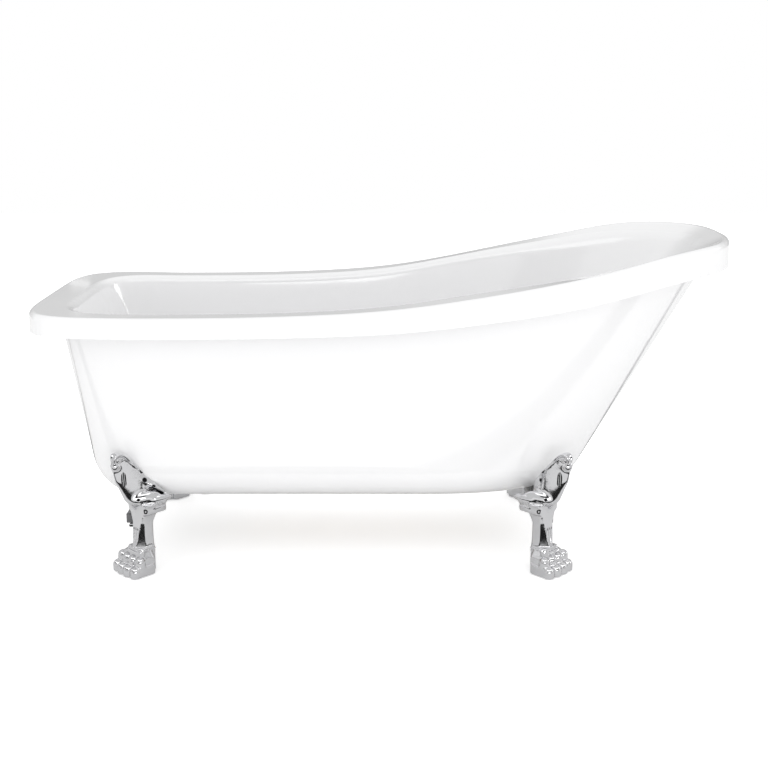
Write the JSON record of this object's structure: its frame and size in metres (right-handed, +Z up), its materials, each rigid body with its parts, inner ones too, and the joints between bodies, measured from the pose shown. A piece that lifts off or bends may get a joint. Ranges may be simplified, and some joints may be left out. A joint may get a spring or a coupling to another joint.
{
  "type": "clawfoot bathtub",
  "caption": "Free-standing slipper bathtub with a raised rounded back, flat tap deck, double-walled acrylic shell and chrome claw feet.",
  "frame": {"origin": "on the floor, under the centre of the bounding box", "axes": "+Z up, +X along the tub towards the raised slipper end, +Y across the tub, away from the camera of the picture"},
  "size_m": [1.5508, 0.7095, 0.7318],
  "materials": {
    "acrylic_white": "gloss white acrylic, smooth",
    "bond": "cured adhesive bead",
    "board": "resin-sealed plywood",
    "frame_steel": "grey painted steel tube",
    "packer": "dense black rubber",
    "chrome": "polished chrome plate",
    "zinc": "zinc-plated steel",
    "leveller_pad": "black nylon",
    "gasket": "black rubber",
    "nut_brass": "machined brass",
    "pipe_plastic": "white waste plastic"
  },
  "bodies": {
    "tub": {"inner_shell": "acrylic_white", "outer_skin": "acrylic_white", "rim_bond": "bond", "base_board": "board", "cross_member_deck": "frame_steel", "claw_foot_deck_near": "chrome", "packer_deck_near": "packer", "claw_foot_deck_far": "chrome", "packer_deck_far": "packer", "cross_member_slipper": "frame_steel", "claw_foot_slipper_near": "chrome", "packer_slipper_near": "packer", "claw_foot_slipper_far": "chrome", "packer_slipper_far": "packer", "foot_bolts": "zinc", "foot_washers": "zinc", "member_nuts": "zinc", "waste_body": "chrome", "waste_gasket_upper": "gasket", "waste_gasket_lower": "gasket", "waste_backnut": "nut_brass", "waste_tee": "pipe_plastic", "plug_guide": "nut_brass", "overflow_plate": "chrome", "overflow_screw": "chrome", "overflow_gasket_front": "gasket", "overflow_gasket_back": "gasket", "overflow_body": "pipe_plastic", "overflow_pipe": "pipe_plastic"},
    "leveller_deck_near": {"leveller_pad_deck_near": "leveller_pad", "leveller_stem_deck_near": "zinc"},
    "leveller_deck_far": {"leveller_pad_deck_far": "leveller_pad", "leveller_stem_deck_far": "zinc"},
    "leveller_slipper_near": {"leveller_pad_slipper_near": "leveller_pad", "leveller_stem_slipper_near": "zinc"},
    "leveller_slipper_far": {"leveller_pad_slipper_far": "leveller_pad", "leveller_stem_slipper_far": "zinc"},
    "plug": {"waste_plug": "chrome", "plug_seal": "gasket"}
  },
  "joints": [
    {"name": "level_deck_near", "type": "slide", "parent": "tub", "child": "leveller_deck_near", "axis": [0, 0, -1], "range_m": [0, 0.008]},
    {"name": "level_deck_far", "type": "slide", "parent": "tub", "child": "leveller_deck_far", "axis": [0, 0, -1], "range_m": [0, 0.008]},
    {"name": "level_slipper_near", "type": "slide", "parent": "tub", "child": "leveller_slipper_near", "axis": [0, 0, -1], "range_m": [0, 0.008]},
    {"name": "level_slipper_far", "type": "slide", "parent": "tub", "child": "leveller_slipper_far", "axis": [0, 0, -1], "range_m": [0, 0.008]},
    {"name": "plug_lift", "type": "slide", "parent": "tub", "child": "plug", "axis": [0, 0, 1], "range_m": [0, 0.008]}
  ]
}
